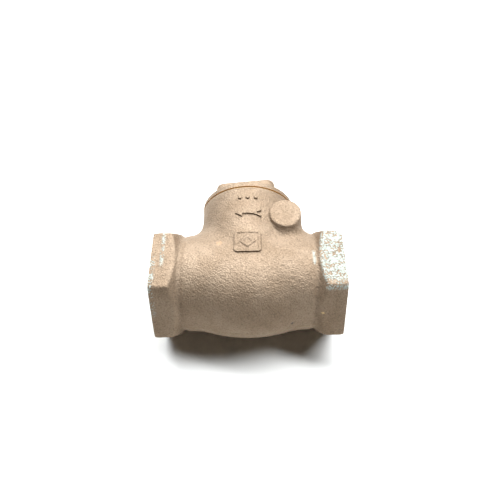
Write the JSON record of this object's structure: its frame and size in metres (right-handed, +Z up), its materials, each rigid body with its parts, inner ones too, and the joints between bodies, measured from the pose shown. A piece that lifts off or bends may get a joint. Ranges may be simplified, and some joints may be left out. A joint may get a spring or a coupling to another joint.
{
  "type": "swing check valve",
  "caption": "Cast bronze swing check valve with threaded hexagonal pipe ends, a screwed square-head cap and a hinged disc that lets water pass one way only.",
  "frame": {"origin": "centre of the inlet port's face, on the flow line", "axes": "+X from the outlet to the inlet, so water flows towards -X; +Y from the flow line towards the cap; +Z up, along the hinge pin. The valve lies on the flats of its pipe ends, as in the picture"},
  "size_m": [0.112, 0.1035, 0.0629],
  "materials": {
    "cast_bronze": "sand-cast, dull and grainy, with pale green patina on the pipe ends",
    "inner_bronze": "cast, partly turned, satin",
    "turned_brass": "turned, satin",
    "copper": "dull copper",
    "gasket_ring": "golden brown, dull",
    "soft_disc": "waxy white fluoropolymer"
  },
  "bodies": {
    "root": {"body": "cast_bronze", "side_plug": "turned_brass", "plug_gasket": "copper"},
    "pin": {"hinge_pin": "turned_brass"},
    "flap_arm": {"hanger": "inner_bronze"},
    "flap_disc": {"disc_holder": "inner_bronze", "seat_disc": "soft_disc", "disc_plate": "turned_brass", "disc_nut": "turned_brass", "hanger_washer": "turned_brass", "hanger_nut": "turned_brass", "cotter_pin": "turned_brass"},
    "cap_ring": {"cap_gasket": "gasket_ring"},
    "cap": {"cap": "cast_bronze"}
  },
  "joints": [
    {"name": "disc_swing", "type": "hinge", "parent": "root", "child": "flap_arm", "pos_m": [-0.0325, 0.0324, 0], "axis": [0, 0, -1], "range_deg": [0, 60]},
    {"name": "disc_spin", "type": "hinge", "parent": "flap_arm", "child": "flap_disc", "pos_m": [-0.03, 0, 0], "axis": [-0.9848, 0.1736, 0], "continuous": true},
    {"name": "pin_spin", "type": "hinge", "parent": "root", "child": "pin", "pos_m": [-0.0325, 0.0324, 0], "axis": [0, 0, 1], "continuous": true},
    {"name": "cap_lift", "type": "slide", "parent": "root", "child": "cap_ring", "axis": [0, 1, 0], "range_m": [0, 0.0111]},
    {"name": "cap_turn", "type": "hinge", "parent": "cap_ring", "child": "cap", "pos_m": [-0.0555, 0.052, 0], "axis": [0, 1, 0], "range_deg": [0, 1980]}
  ],
  "couplings": [
    {"joint": "cap_lift", "follows": "cap_turn", "m_per_rad": 0.00031831}
  ]
}
